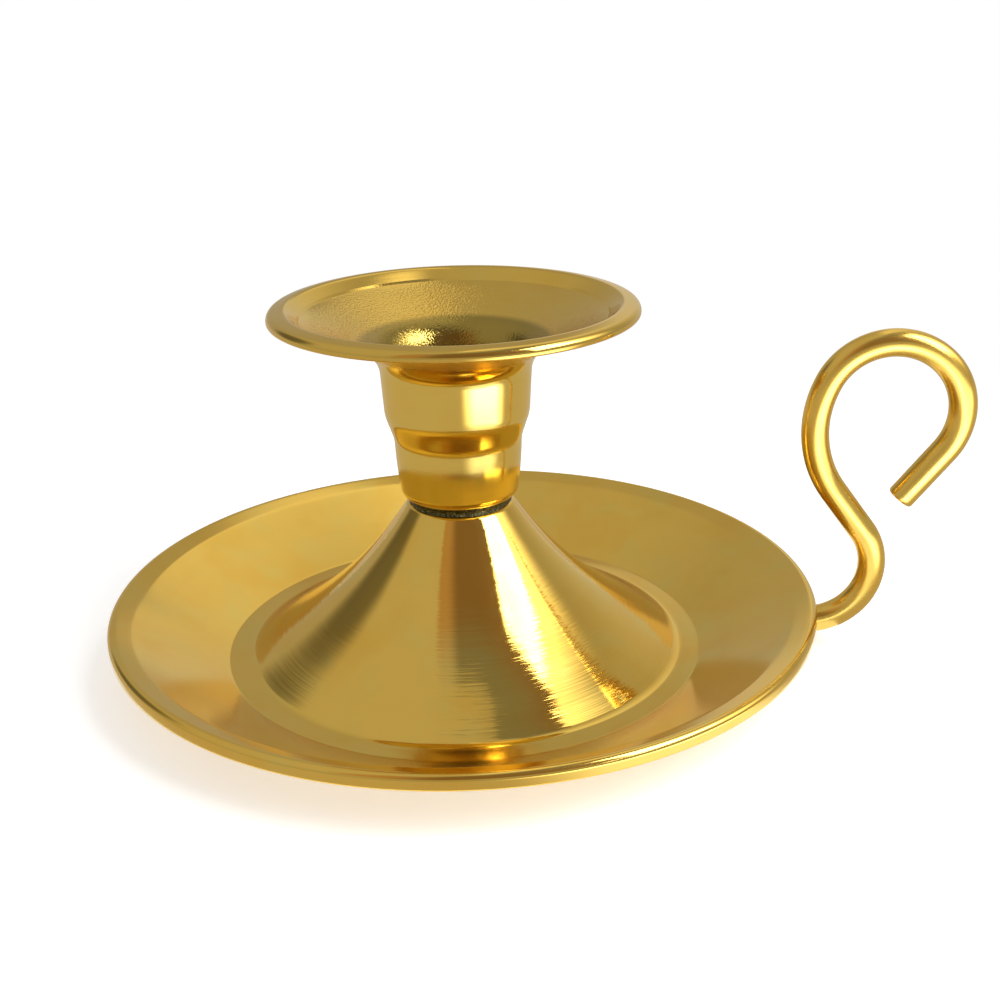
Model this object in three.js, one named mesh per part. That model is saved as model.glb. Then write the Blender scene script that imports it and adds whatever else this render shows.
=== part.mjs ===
// Brass chamber candlestick: a spun dish with a cone in one sheet, a stepped candle cup with a drip pan
// soldered on the cone, and a finger loop bent from rod, soldered under the dish.
// Millimetres, +Z up. The foot ring stands on z = 0 and the handle points along +X.

import * as THREE from 'three';

// Dish and cone, spun from one sheet
const DISH_RADIUS = 60;             // outside of the turned-down rim
const DISH_SHEET = 0.8;
const RIM_EDGE_HEIGHT = 8.4;        // lower edge of the rim above the table
const RIM_CURL_RADIUS = 1.05;       // outside of the curl from the brim down into the rim
const BRIM_RADIUS = 56;             // where the slope of the dish eases into the brim
const BRIM_HEIGHT = 9.4;
const BRIM_ANGLE = 20;              // rise of the brim in degrees
const BRIM_BEND_RADIUS = 4;
const FOOT_RADIUS = 40.75;          // crease between the foot ring and the slope of the dish
const FOOT_CREASE_RADIUS = 0.6;
const CONE_FOOT_RADIUS = 36.7;      // where the flank meets the foot ring
const CONE_FOOT_BEND_RADIUS = 3;
const CONE_FLARE_RADIUS = 75;       // long hollow curve of the flank
const CONE_WAIST_RADIUS = 19.4;     // where the flank's steep upper run and its lower run would meet
const CONE_WAIST_HEIGHT = 12.1;
const CONE_TOP_RADIUS = 8.8;
const CONE_TOP_HEIGHT = 27;
const CONE_SHOULDER_BEND = 0.4;     // inside of the rounded shoulder

// Candle cup with its drip pan, spun from one sheet; radii are the inside of the socket
const CUP_SHEET = 0.8;
const CUP_CORNER_RADIUS = 1;
const SOCKET_FLOOR_RADIUS = 9.05;
const BELLY_RADIUS = 9.62;          // slight barrel of the lower band
const BELLY_HEIGHT = 5.2;           // above the socket floor
const BELLY_ROUND_RADIUS = 60;
const LOWER_BAND_RADIUS = 9.82;     // top of the lower band
const LOWER_BAND_HEIGHT = 9.7;      // above the socket floor
const UPPER_BAND_RADIUS = 11.2;     // bottom of the upper band
const SHOULDER_HEIGHT = 4.1;        // the step between the two bands
const SHOULDER_ROUND_RADIUS = 6;
const THROAT_RADIUS = 11.8;         // top of the upper band
const UPPER_BAND_HEIGHT = 10.5;
const THROAT_FLARE_RADIUS = 5.8;
const BOWL_RADIUS = 24.9;           // edge of the pan's shallow bowl
const BOWL_RISE = 4.6;              // from the throat's corner
const STEP_WIDTH = 0.6;             // steep step from the bowl up to the lip
const STEP_HEIGHT = 1.5;
const STEP_ROUND_RADIUS = 0.6;
const CREST_WIDTH = 1.8;            // inner slope of the lip, from the step to the crest's corner
const CREST_HEIGHT = 1.8;
const CREST_ROUND_RADIUS = 1.4;
const PAN_RADIUS = 30;              // outside of the pan's turned-down lip
const LIP_FALL = 0.55;              // from the crest's corner to the outer corner of the lip
const LIP_CURL_RADIUS = 1.3;
const LIP_EDGE_DROP = 1.15;         // from the outer corner to the lower edge of the lip

// Handle, bent from round rod in the order that the rod leaves the dish; angles in degrees
const ROD_RADIUS = 2.25;
const TAIL_BEND_RADIUS = 4.5;
const LEVEL_LENGTH = 1;             // straight under the rim
const LOWER_BEND_RADIUS = 10.4;
const LOWER_BEND_ANGLE = 126.3;
const STEM_LENGTH = 8.7;            // straight between the two bends
const STEM_CURVE_RADIUS = 18.4;     // slow curve up the back of the finger loop
const STEM_CURVE_ANGLE = 61.3;
const LOOP_RADIUS = 11.3;
const LOOP_ANGLE = 192.8;
const LOOP_END_LENGTH = 10.6;       // straight end of the rod, cut square
const TAIL_TABLE_CLEARANCE = 0.4;   // from the end of the tail to the table
const ROD_RIM_CLEARANCE = 1.15;     // from the rod to the rim that it passes under

// Solder, and the gap that it keeps to the pieces it joins
const SOLDER_GAP = 0.3;
const CUP_SOLDER_THICKNESS = 0.4;
const CUP_SOLDER_WIDTH = 2.7;       // flat part of the seam between the cone's top and the cup's floor
const CUP_SOLDER_WAIST = 0.25;      // how far the visible face of the seam is drawn in
const CUP_SOLDER_WRAP = 32;         // degrees that the seam follows each rounded corner
const HANDLE_SOLDER_FILM = 0.5;     // over the top of the rod
const HANDLE_SOLDER_WRAP = 58;      // degrees that the groove follows each side of the rod
const HANDLE_SOLDER_REACH = 1.2;    // width of each fillet beside the rod
const HANDLE_SOLDER_EDGE = 0.25;    // thickness where a fillet runs out

// Fineness of the turned and bent surfaces
const DISH_SEGMENTS = 60;
const CUP_SEGMENTS = 40;
const ROD_SIDES = 12;
const ROD_STEPS = 54;
const CURVE_STEPS = 3;
const CHORD_ERROR = 0.05;           // largest distance from an arc to its chords

const radians = THREE.MathUtils.degToRad;
const point = (r, z) => new THREE.Vector2(r, z);
const leftOf = (direction) => new THREE.Vector2(-direction.y, direction.x);
const headingAt = (angle) => new THREE.Vector2(Math.cos(angle), Math.sin(angle));
const between = (from, to) => to.clone().sub(from);

// Points with left-hand normals along an arc that turns from one heading to another.
function arcByHeading(centre, radius, from, to) {
  const side = Math.sign(to - from);
  const chordAngle = 2 * Math.acos(1 - Math.min(1, CHORD_ERROR / radius));
  const steps = Math.ceil(Math.abs(to - from) / chordAngle);
  return Array.from({ length: steps + 1 }, (_, k) => {
    const normal = leftOf(headingAt(from + ((to - from) * k) / steps));
    return { at: centre.clone().addScaledVector(normal, -side * radius), normal };
  });
}

// The turn at a corner, positive to the left, and the length that a round takes from each side of it.
function turnAt(before, at, after) {
  const into = between(before, at);
  const out = between(at, after);
  return Math.atan2(into.cross(out), into.dot(out));
}

function tangentLength(radius, turn) {
  return radius * Math.tan(Math.abs(turn) / 2);
}

// Centre of the round that starts a tangent length before a corner.
function roundCentre(before, at, radius, turn) {
  const direction = between(before, at).normalize();
  const start = at.clone().addScaledVector(direction, -tangentLength(radius, turn));
  return start.addScaledVector(leftOf(direction), Math.sign(turn) * radius);
}

// An open outline whose inner corners are rounded. A round is no larger than its sides leave room for.
function roundedPath(corners) {
  const places = corners.map((corner) => corner.at);
  const inner = (i) => i > 0 && i < places.length - 1;
  const turns = places.map((at, i) => (inner(i) ? turnAt(places[i - 1], at, places[i + 1]) : 0));
  const wanted = corners.map((corner, i) => (inner(i) ? tangentLength(corner.radius, turns[i]) : 0));
  const path = [{ at: places[0], normal: leftOf(between(places[0], places[1]).normalize()) }];
  for (let i = 1; i < places.length - 1; i += 1) {
    const sideBefore = between(places[i - 1], places[i]);
    const sideAfter = between(places[i], places[i + 1]);
    const room = Math.min(sideBefore.length() - wanted[i - 1], sideAfter.length() - wanted[i + 1]);
    const radius = corners[i].radius * Math.min(1, room / wanted[i]);
    const centre = roundCentre(places[i - 1], places[i], radius, turns[i]);
    const heading = sideBefore.angle();
    path.push(...arcByHeading(centre, radius, heading, heading + turns[i]));
  }
  const [last, end] = places.slice(-2);
  path.push({ at: end, normal: leftOf(between(last, end).normalize()) });
  return path;
}

// Both sides of a sheet whose upper side is the path, as one outline from the axis back to the axis.
function sheetOutline(path, thickness) {
  const under = path.map(({ at, normal }) => at.clone().addScaledVector(normal, -thickness));
  return [...path.map(({ at }) => at), ...under.reverse()];
}

// A solid of revolution about Z. The outline runs with the material on its right.
function turned(outline, segments) {
  return new THREE.LatheGeometry(outline.slice().reverse(), segments).rotateX(Math.PI / 2);
}

// A rod bent in the XZ plane from straight runs and bends. A positive turn bends it upwards.
class BentRod extends THREE.Curve {
  constructor(start, heading, runs) {
    super();
    this.start = start;
    this.heading = heading;
    this.runs = runs.map((run) => ({ ...run, length: run.straight ?? run.radius * Math.abs(run.turn) }));
    this.total = this.runs.reduce((sum, run) => sum + run.length, 0);
  }

  getPoint(t, target = new THREE.Vector3()) {
    let left = t * this.total;
    let heading = this.heading;
    const at = this.start.clone();
    for (const run of this.runs) {
      const travelled = Math.min(left, run.length);
      left -= travelled;
      if (run.straight !== undefined) {
        at.addScaledVector(headingAt(heading), travelled);
      } else {
        const side = Math.sign(run.turn) * run.radius;
        at.addScaledVector(leftOf(headingAt(heading)), side);
        heading += (run.turn * travelled) / run.length;
        at.addScaledVector(leftOf(headingAt(heading)), -side);
      }
    }
    return target.set(at.x, 0, at.y);
  }
}

const brass = (color, roughness) => new THREE.MeshStandardMaterial({ color, roughness, metalness: 1 });
const solder = (color) => new THREE.MeshStandardMaterial({ color, roughness: 0.55, metalness: 0.8 });

function piece(name, geometry, material) {
  const mesh = new THREE.Mesh(geometry, material);
  mesh.name = name;
  return mesh;
}

// Dish and cone
const shoulderRadius = CONE_SHOULDER_BEND + DISH_SHEET;
const coneApex = point(0, CONE_TOP_HEIGHT);
const coneShoulder = point(CONE_TOP_RADIUS, CONE_TOP_HEIGHT);
const coneWaist = point(CONE_WAIST_RADIUS, CONE_WAIST_HEIGHT);
const coneFoot = point(CONE_FOOT_RADIUS, DISH_SHEET);
const footCrease = point(FOOT_RADIUS, DISH_SHEET);
const brim = point(BRIM_RADIUS, BRIM_HEIGHT);
const rimCorner = point(DISH_RADIUS, brim.y + (DISH_RADIUS - BRIM_RADIUS) * Math.tan(radians(BRIM_ANGLE)));
const rimEdge = point(DISH_RADIUS, RIM_EDGE_HEIGHT);

function makeBaseDish() {
  const face = roundedPath([
    { at: coneApex },
    { at: coneShoulder, radius: shoulderRadius },
    { at: coneWaist, radius: CONE_FLARE_RADIUS },
    { at: coneFoot, radius: CONE_FOOT_BEND_RADIUS },
    { at: footCrease, radius: FOOT_CREASE_RADIUS },
    { at: brim, radius: BRIM_BEND_RADIUS },
    { at: rimCorner, radius: RIM_CURL_RADIUS },
    { at: rimEdge },
  ]);
  const geometry = turned(sheetOutline(face, DISH_SHEET), DISH_SEGMENTS);
  return piece('base_dish', geometry, brass(0xc9a03f, 0.28));
}

// Candle cup and drip pan
const cupUnderside = CONE_TOP_HEIGHT + CUP_SOLDER_THICKNESS + 2 * SOLDER_GAP;
const floorCentre = point(0, cupUnderside + CUP_SHEET);
const floorCorner = point(SOCKET_FLOOR_RADIUS, floorCentre.y);
const belly = point(BELLY_RADIUS, floorCentre.y + BELLY_HEIGHT);
const bandTop = point(LOWER_BAND_RADIUS, floorCentre.y + LOWER_BAND_HEIGHT);
const stepTop = point(UPPER_BAND_RADIUS, bandTop.y + SHOULDER_HEIGHT);
const throat = point(THROAT_RADIUS, stepTop.y + UPPER_BAND_HEIGHT);
const bowlEdge = point(BOWL_RADIUS, throat.y + BOWL_RISE);
const lipStep = point(bowlEdge.x + STEP_WIDTH, bowlEdge.y + STEP_HEIGHT);
const lipCrest = point(lipStep.x + CREST_WIDTH, lipStep.y + CREST_HEIGHT);
const lipCorner = point(PAN_RADIUS, lipCrest.y - LIP_FALL);
const lipEdge = point(PAN_RADIUS, lipCorner.y - LIP_EDGE_DROP);

function makeCandleCup() {
  const face = roundedPath([
    { at: floorCentre },
    { at: floorCorner, radius: CUP_CORNER_RADIUS },
    { at: belly, radius: BELLY_ROUND_RADIUS },
    { at: bandTop, radius: SHOULDER_ROUND_RADIUS },
    { at: stepTop, radius: SHOULDER_ROUND_RADIUS },
    { at: throat, radius: THROAT_FLARE_RADIUS },
    { at: bowlEdge, radius: STEP_ROUND_RADIUS },
    { at: lipStep, radius: STEP_ROUND_RADIUS },
    { at: lipCrest, radius: CREST_ROUND_RADIUS },
    { at: lipCorner, radius: LIP_CURL_RADIUS },
    { at: lipEdge },
  ]);
  const geometry = turned(sheetOutline(face, CUP_SHEET), CUP_SEGMENTS);
  return piece('candle_cup', geometry, brass(0xcfa53c, 0.2));
}

// Solder seam in the crevice between the cone's rounded shoulder and the cup's rounded corner
function makeCupSolder() {
  const wrap = radians(CUP_SOLDER_WRAP);
  const cupTurn = turnAt(floorCentre, floorCorner, belly);
  const cupRound = roundCentre(floorCentre, floorCorner, CUP_CORNER_RADIUS, cupTurn);
  const cupOutside = CUP_CORNER_RADIUS + CUP_SHEET + SOLDER_GAP;
  const coneTurn = turnAt(coneApex, coneShoulder, coneWaist);
  const coneRound = roundCentre(coneApex, coneShoulder, shoulderRadius, coneTurn);
  const coneOutside = shoulderRadius + SOLDER_GAP;
  const upper = arcByHeading(cupRound, cupOutside, 0, wrap).map(({ at }) => at);
  const lower = arcByHeading(coneRound, coneOutside, 0, -wrap).map(({ at }) => at);
  const waist = upper.at(-1).clone().lerp(lower.at(-1), 0.5);
  waist.x -= CUP_SOLDER_WAIST;
  const innerRadius = Math.min(cupRound.x, coneRound.x) - CUP_SOLDER_WIDTH;
  const innerTop = point(innerRadius, upper[0].y);
  const innerBottom = point(innerRadius, lower[0].y);
  const outline = [innerTop, ...upper, waist, ...lower.reverse(), innerBottom, innerTop];
  return piece('cup_solder', turned(outline, CUP_SEGMENTS), solder(0x5d5f52));
}

// Tail of the handle: a straight run under the slope of the dish, as far in as the table allows
const slope = between(footCrease, brim).normalize();
const slopeNormal = leftOf(slope);
const seatDepth = DISH_SHEET + HANDLE_SOLDER_FILM + 2 * SOLDER_GAP + ROD_RADIUS;
const tailLine = footCrease.clone().addScaledVector(slopeNormal, -seatDepth);
const tailEndHeight = TAIL_TABLE_CLEARANCE + ROD_RADIUS * slope.x;
const tailStart = (tailEndHeight - tailLine.y) / slope.y;
const rodHeight = RIM_EDGE_HEIGHT - ROD_RIM_CLEARANCE - ROD_RADIUS;
const tailCorner = (rodHeight - tailLine.y) / slope.y;
const tailLength = tailCorner - tangentLength(TAIL_BEND_RADIUS, slope.angle()) - tailStart;
const tailEnd = tailLine.clone().addScaledVector(slope, tailStart);

// Handle: up along the slope, level under the rim, up round the lower bend and over into the finger loop
const handleRoute = new BentRod(tailEnd, slope.angle(), [
  { straight: tailLength },
  { radius: TAIL_BEND_RADIUS, turn: -slope.angle() },
  { straight: LEVEL_LENGTH },
  { radius: LOWER_BEND_RADIUS, turn: radians(LOWER_BEND_ANGLE) },
  { straight: STEM_LENGTH },
  { radius: STEM_CURVE_RADIUS, turn: -radians(STEM_CURVE_ANGLE) },
  { radius: LOOP_RADIUS, turn: -radians(LOOP_ANGLE) },
  { straight: LOOP_END_LENGTH },
]);

function makeHandle() {
  const corners = Array.from({ length: ROD_SIDES }, (_, k) => {
    return headingAt((2 * Math.PI * k) / ROD_SIDES).multiplyScalar(ROD_RADIUS);
  });
  const options = { steps: ROD_STEPS, extrudePath: handleRoute };
  const geometry = new THREE.ExtrudeGeometry(new THREE.Shape(corners), options);
  return piece('handle', geometry, brass(0xd0a845, 0.18));
}

// Solder saddle between the tail and the dish: a film over the rod that runs out in a fillet on each side
function makeHandleSolder() {
  const grooveRadius = ROD_RADIUS + SOLDER_GAP;
  const grooveCentre = point(0, -HANDLE_SOLDER_FILM - grooveRadius);
  const wrap = radians(HANDLE_SOLDER_WRAP);
  const groove = arcByHeading(grooveCentre, grooveRadius, wrap, -wrap).map(({ at }) => at);
  const [left, right] = [groove[0], groove.at(-1)];
  const halfWidth = right.x + HANDLE_SOLDER_REACH;
  const shape = new THREE.Shape(groove);
  shape.quadraticCurveTo(right.x, -HANDLE_SOLDER_EDGE, halfWidth, -HANDLE_SOLDER_EDGE);
  shape.lineTo(halfWidth, 0);
  shape.lineTo(-halfWidth, 0);
  shape.lineTo(-halfWidth, -HANDLE_SOLDER_EDGE);
  shape.quadraticCurveTo(left.x, -HANDLE_SOLDER_EDGE, left.x, left.y);
  const options = { depth: tailLength, bevelEnabled: false, curveSegments: CURVE_STEPS };
  const mesh = piece('handle_solder', new THREE.ExtrudeGeometry(shape, options), solder(0x6a6b5e));
  const topFace = tailEnd.clone().addScaledVector(slopeNormal, ROD_RADIUS + SOLDER_GAP + HANDLE_SOLDER_FILM);
  const across = new THREE.Vector3(0, 1, 0);
  const up = new THREE.Vector3(slopeNormal.x, 0, slopeNormal.y);
  const outward = new THREE.Vector3(slope.x, 0, slope.y);
  mesh.quaternion.setFromRotationMatrix(new THREE.Matrix4().makeBasis(across, up, outward));
  mesh.position.set(topFace.x, 0, topFace.y);
  return mesh;
}

// The whole candlestick, centred lengthwise between the rim and the far side of the finger loop
const handleReach = Math.max(...handleRoute.getPoints(ROD_STEPS).map((place) => place.x)) + ROD_RADIUS;
const candlestick = new THREE.Group();
candlestick.name = 'candlestick';
candlestick.position.x = (DISH_RADIUS - handleReach) / 2;
candlestick.add(makeBaseDish(), makeCandleCup(), makeCupSolder(), makeHandle(), makeHandleSolder());

export default candlestick;
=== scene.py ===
# %% [markdown]
# # A brass chamber candlestick
#
# The stick is two spun brass sheets and a bent rod, held together with solder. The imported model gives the
# true size and place of every piece in facets. This lesson lays a fine surface over each of them, finishes
# the brass as a spinner and a polisher would, and sets up a small studio to photograph it in.

import bpy
import numpy as np
from mathutils import Matrix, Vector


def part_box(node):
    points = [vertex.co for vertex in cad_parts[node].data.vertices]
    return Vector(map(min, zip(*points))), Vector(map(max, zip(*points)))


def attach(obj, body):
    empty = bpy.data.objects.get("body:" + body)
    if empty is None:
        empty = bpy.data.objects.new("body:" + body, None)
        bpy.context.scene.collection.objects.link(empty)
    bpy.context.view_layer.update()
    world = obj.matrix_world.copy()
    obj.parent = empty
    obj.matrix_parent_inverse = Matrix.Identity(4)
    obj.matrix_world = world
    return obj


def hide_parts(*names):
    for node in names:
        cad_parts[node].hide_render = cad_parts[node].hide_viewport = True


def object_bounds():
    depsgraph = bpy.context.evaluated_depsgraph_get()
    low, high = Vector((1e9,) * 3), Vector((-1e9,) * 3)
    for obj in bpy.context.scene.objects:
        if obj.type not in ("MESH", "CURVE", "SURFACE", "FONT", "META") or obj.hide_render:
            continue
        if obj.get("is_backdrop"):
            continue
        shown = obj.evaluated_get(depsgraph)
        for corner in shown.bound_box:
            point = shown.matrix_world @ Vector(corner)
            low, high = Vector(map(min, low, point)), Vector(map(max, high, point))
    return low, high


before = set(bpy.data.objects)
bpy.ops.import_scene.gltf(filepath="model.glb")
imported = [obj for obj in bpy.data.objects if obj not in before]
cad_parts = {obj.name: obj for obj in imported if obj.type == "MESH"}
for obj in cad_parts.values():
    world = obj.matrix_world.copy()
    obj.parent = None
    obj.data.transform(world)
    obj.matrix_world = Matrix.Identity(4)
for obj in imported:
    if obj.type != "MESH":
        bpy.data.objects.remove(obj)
cad_box = [list(corner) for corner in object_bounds()]
print("nodes:", sorted(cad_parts))

# %% [markdown]
# ## Units and the axis
#
# The sizes are the maker's own, in millimetres, with the axis of the turned pieces at zero. Blender works in
# metres, so one factor is applied where a mesh is made. The axis is not the model's origin: the origin lies
# midway between the rim and the far side of the handle, so the axis is read from the box of the dish.

# %% Units and axis
MM = 0.001
SHEET = 0.8

dish_low, dish_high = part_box("base_dish")
axis_x = (dish_low.x + dish_high.x) / 2
print(f"axis of the turned pieces at x = {axis_x / MM:.2f} mm")

# %% [markdown]
# ## The camera
#
# The photograph was taken close up, so the near rim looks much larger than the far one. The camera's distance
# and lens follow from that: they were worked out from the ellipses of the two rims. Azimuth is counted from
# the front towards the handle, and the pan, tilt and roll turn the camera from looking level at the axis.

# %% Camera
CAMERA_AZIMUTH = 6.0
CAMERA_DISTANCE = 219.2
CAMERA_HEIGHT = 112.1
CAMERA_PAN = 1.75
CAMERA_TILT = 21.35
CAMERA_ROLL = 1.33
FOCAL_PIXELS = 1390.0
IMAGE_PIXELS = 1000.0
SENSOR_MM = 36.0
CLIP_START = 0.01


def camera_axes(azimuth, pan, tilt, roll):
    """Unit vectors ahead, right and down of a camera that looks at the axis, then pans, tilts and rolls."""
    turn = pan - azimuth
    ahead = np.array([np.sin(turn) * np.cos(tilt), np.cos(turn) * np.cos(tilt), -np.sin(tilt)])
    level_right = np.array([np.cos(turn), -np.sin(turn), 0.0])
    level_down = np.cross(ahead, level_right)
    right = np.cos(roll) * level_right + np.sin(roll) * level_down
    down = np.cos(roll) * level_down - np.sin(roll) * level_right
    return ahead, right, down


def add_camera():
    """A camera at the photograph's place, as a matrix whose columns are right, up, back and position."""
    azimuth, pan, tilt, roll = np.radians([CAMERA_AZIMUTH, CAMERA_PAN, CAMERA_TILT, CAMERA_ROLL])
    ahead, right, down = camera_axes(azimuth, pan, tilt, roll)
    place = np.array([np.sin(azimuth), -np.cos(azimuth), 0.0]) * CAMERA_DISTANCE
    place = (place + [0.0, 0.0, CAMERA_HEIGHT]) * MM + [axis_x, 0.0, 0.0]
    matrix = np.eye(4)
    matrix[:3, :4] = np.stack([right, -down, -ahead, place], axis=1)
    data = bpy.data.cameras.new("camera")
    data.sensor_width = SENSOR_MM
    data.lens = FOCAL_PIXELS / IMAGE_PIXELS * SENSOR_MM
    data.clip_start = CLIP_START
    camera = bpy.data.objects.new("camera", data)
    camera.matrix_world = Matrix(matrix.tolist())
    bpy.context.scene.collection.objects.link(camera)
    bpy.context.scene.camera = camera
    return camera


camera = add_camera()
print(f"camera lens {camera.data.lens:.1f} mm")

# %% [markdown]
# ## Drawing a spun profile
#
# A spinner presses a flat disc over a turned former, so the sheet follows one smooth line from the axis to
# the rim. The line is straight runs joined by arcs. Each point also keeps its normal, because the underside
# of the sheet is the same line moved by the sheet's thickness along the normals.

# %% Profiles from straight runs and arcs
ARC_STEP = 4.0
RUN_STEP = 0.7
EDGE_POINTS = 9


def left_of(direction):
    """A direction in the (radius, height) plane turned a quarter to the left."""
    return np.stack([-direction[..., 1], direction[..., 0]], axis=-1)


def heading_vector(angle):
    """Unit vectors along headings, counted from the outward direction towards the upward one."""
    return np.stack([np.cos(angle), np.sin(angle)], axis=-1)


def arc_points(centre, radius, start, end):
    """Arc that turns from one heading to another: centre minus the signed radius times the left normal."""
    turn = abs(end - start)
    count = int(np.ceil(max(np.degrees(turn) / ARC_STEP, turn * radius / RUN_STEP))) + 1
    normal = left_of(heading_vector(np.linspace(start, end, count)))
    return np.asarray(centre) - np.sign(end - start) * radius * normal, normal


def rounded_profile(corners, radii):
    """Points and left normals along a line of corners, each inner corner cut by an arc of its radius.

    An arc of radius R at a corner that turns by a starts R tan(a / 2) before the corner.
    """
    corners = np.asarray(corners, float)
    sides = np.diff(corners, axis=0)
    units = sides / np.linalg.norm(sides, axis=1)[:, None]
    headings = np.arctan2(units[:, 1], units[:, 0])
    turns = (np.diff(headings) + np.pi) % (2 * np.pi) - np.pi
    places, normals = [corners[:1]], [left_of(units[:1])]
    for i, (radius, turn) in enumerate(zip(radii, turns)):
        start = corners[i + 1] - units[i] * radius * np.tan(abs(turn) / 2)
        centre = start + left_of(units[i]) * np.sign(turn) * radius
        arc, normal = arc_points(centre, radius, headings[i], headings[i] + turn)
        places.append(arc)
        normals.append(normal)
    return np.concatenate([*places, corners[-1:]]), np.concatenate([*normals, left_of(units[-1:])])


def sheet_outline(places, normals, thickness):
    """Closed outline of a sheet: its upper face, a half circle round its edge, and its underside back."""
    under = places - normals * thickness
    edge_heading = np.arctan2(normals[-1, 1], normals[-1, 0])
    sweep = np.linspace(edge_heading, edge_heading - np.pi, EDGE_POINTS)[1:-1]
    edge = (places[-1] + under[-1]) / 2 + heading_vector(sweep) * thickness / 2
    return np.concatenate([places, edge, under[::-1]])


def even_runs(outline):
    """The outline with long straight runs divided into equal steps, so that no face is a long sliver."""
    parts = []
    for here, there in zip(outline[:-1], outline[1:]):
        count = max(1, int(np.ceil(np.linalg.norm(there - here) / RUN_STEP)))
        parts.append(here + (there - here) * np.linspace(0, 1, count, endpoint=False)[:, None])
    return np.concatenate([*parts, outline[-1:]])


# %% [markdown]
# ## Turning a profile
#
# A turned surface is a grid with two parameters: the place along the profile and the angle about the axis.
# The points at both ends lie on the axis and are single vertices with a fan of triangles, so the surface is
# closed. The length along the profile is kept as an attribute, because tool marks follow it.

# %% Turned surfaces
def link_mesh(name, vertices, faces, run):
    """A smooth mesh object at the origin, from points in millimetres about the axis, with a run attribute."""
    mesh = bpy.data.meshes.new(name)
    mesh.from_pydata((vertices * MM + [axis_x, 0.0, 0.0]).tolist(), [], faces)
    mesh.polygons.foreach_set("use_smooth", np.ones(len(mesh.polygons), bool))
    mesh.attributes.new("run", "FLOAT", "POINT").data.foreach_set("value", run.astype(np.float32))
    mesh.update()
    piece = bpy.data.objects.new(name, mesh)
    bpy.context.scene.collection.objects.link(piece)
    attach(piece, "root")
    return piece


def turned_grid(outline, segments, waver):
    """Vertices and faces of a turned surface.

    Point (i, k) is (r cos a, r sin a, z) with a = 2 pi k / segments, and r and z moved by waver(r, z, a).
    """
    angle = 2 * np.pi * np.arange(segments) / segments
    radius, height = (column[:, None] for column in outline[1:-1].T)
    radius, height = waver(radius + 0 * angle, height + 0 * angle, angle)
    rings = np.stack([radius * np.cos(angle), radius * np.sin(angle), height], axis=-1).reshape(-1, 3)
    poles = np.array([[0.0, 0.0, outline[0, 1]], [0.0, 0.0, outline[-1, 1]]])
    count = len(outline) - 2
    index = np.arange(count * segments).reshape(count, segments)
    after = np.roll(index, -1, axis=1)
    quads = np.stack([index[:-1], index[1:], after[1:], after[:-1]], axis=-1).reshape(-1, 4)
    top, bottom = count * segments, count * segments + 1
    first = np.stack([np.full(segments, top), index[0], after[0]], axis=-1)
    last = np.stack([np.full(segments, bottom), after[-1], index[-1]], axis=-1)
    return np.concatenate([rings, poles]), quads.tolist() + first.tolist() + last.tolist()


def outline_run(outline, segments):
    """Length along the outline at every vertex of its turned grid, the two poles last."""
    steps = np.linalg.norm(np.diff(outline, axis=0), axis=1)
    run = np.concatenate([[0.0], np.cumsum(steps)])
    return np.concatenate([np.repeat(run[1:-1], segments), run[[0, -1]]])


def still(radius, height, angle):
    """No waver: the surface runs true."""
    return radius, height


def wave_sum(angle, waves):
    """Sum of size times sin(count times angle plus phase), over rows of count, phase and size."""
    return sum(size * np.sin(count * angle + phase) for count, phase, size in waves)


# %% [markdown]
# ## Dish and cone
#
# One sheet makes the cone, the flat foot ring, the slope of the dish and its turned-down rim. Spun sheet
# never runs perfectly true, and on polished brass a tenth of a millimetre shows in the reflections, so the
# slope and the rim waver a little about the axis.

# %% Sizes of the dish
DISH_RADIUS = 60.0
RIM_EDGE_HEIGHT = 8.4
RIM_CURL_RADIUS = 1.05
BRIM_RADIUS = 56.0
BRIM_HEIGHT = 9.4
BRIM_ANGLE = 20.0
BRIM_BEND_RADIUS = 4.0
FOOT_RADIUS = 40.75
FOOT_CREASE_RADIUS = 0.6
CONE_FOOT_RADIUS = 36.7
CONE_FOOT_BEND_RADIUS = 3.0
CONE_FLARE_RADIUS = 75.0
CONE_WAIST_RADIUS = 19.4
CONE_WAIST_HEIGHT = 12.1
CONE_TOP_RADIUS = 8.8
CONE_TOP_HEIGHT = 27.0
CONE_SHOULDER_BEND = 0.4
DISH_SEGMENTS = 216
DISH_WAVES = [(2, 0.6, 0.07), (5, 2.1, 0.03)]

foot_crease = np.array([FOOT_RADIUS, SHEET])
brim = np.array([BRIM_RADIUS, BRIM_HEIGHT])
cone_waist = np.array([CONE_WAIST_RADIUS, CONE_WAIST_HEIGHT])
print(f"dish {2 * DISH_RADIUS:.0f} mm across, cone {CONE_TOP_HEIGHT:.0f} mm high")


# %% Base dish
def dish_profile():
    """Upper face of the dish from the axis out: cone, foot ring, slope, brim and turned-down rim."""
    rim_height = BRIM_HEIGHT + (DISH_RADIUS - BRIM_RADIUS) * np.tan(np.radians(BRIM_ANGLE))
    corners = [
        (0.0, CONE_TOP_HEIGHT), (CONE_TOP_RADIUS, CONE_TOP_HEIGHT), cone_waist, (CONE_FOOT_RADIUS, SHEET),
        foot_crease, brim, (DISH_RADIUS, rim_height), (DISH_RADIUS, RIM_EDGE_HEIGHT),
    ]
    radii = [
        CONE_SHOULDER_BEND + SHEET, CONE_FLARE_RADIUS, CONE_FOOT_BEND_RADIUS, FOOT_CREASE_RADIUS,
        BRIM_BEND_RADIUS, RIM_CURL_RADIUS,
    ]
    return rounded_profile(corners, radii)


def dish_waver(radius, height, angle):
    """Height plus slow waves about the axis, which grow as a square from the crease to the rim."""
    share = np.clip((radius - FOOT_RADIUS) / (DISH_RADIUS - FOOT_RADIUS), 0, 1) ** 2
    return radius, height + share * wave_sum(angle, DISH_WAVES)


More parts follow.
